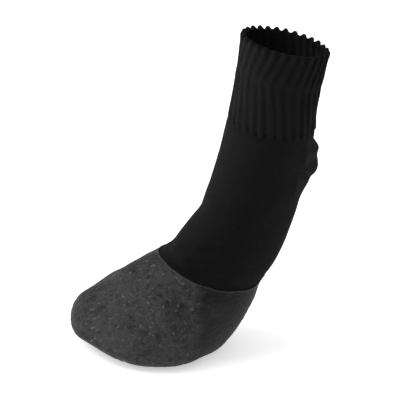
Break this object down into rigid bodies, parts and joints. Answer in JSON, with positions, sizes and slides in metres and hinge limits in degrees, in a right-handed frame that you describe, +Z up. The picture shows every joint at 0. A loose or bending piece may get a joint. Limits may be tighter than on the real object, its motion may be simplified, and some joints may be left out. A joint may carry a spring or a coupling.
{
  "type": "dog sock",
  "caption": "Knitted tube sock for a dog's paw with a ribbed cuff, a heel pocket behind the wrist and a rubber-dipped toe and sole.",
  "frame": {"origin": "middle of the box round the sock, on the floor that the rubber sole stands on", "axes": "+Z up the leg, -Y towards the toe, +Y towards the heel, +X to the dog's left"},
  "size_m": [0.073, 0.1396, 0.1854],
  "materials": {
    "black_knit": "matte knitted yarn",
    "grey_rubber": "matte crinkled rubber dip"
  },
  "bodies": {
    "root": {"knit_upper": "black_knit", "rubber_sole": "grey_rubber"}
  },
  "joints": []
}
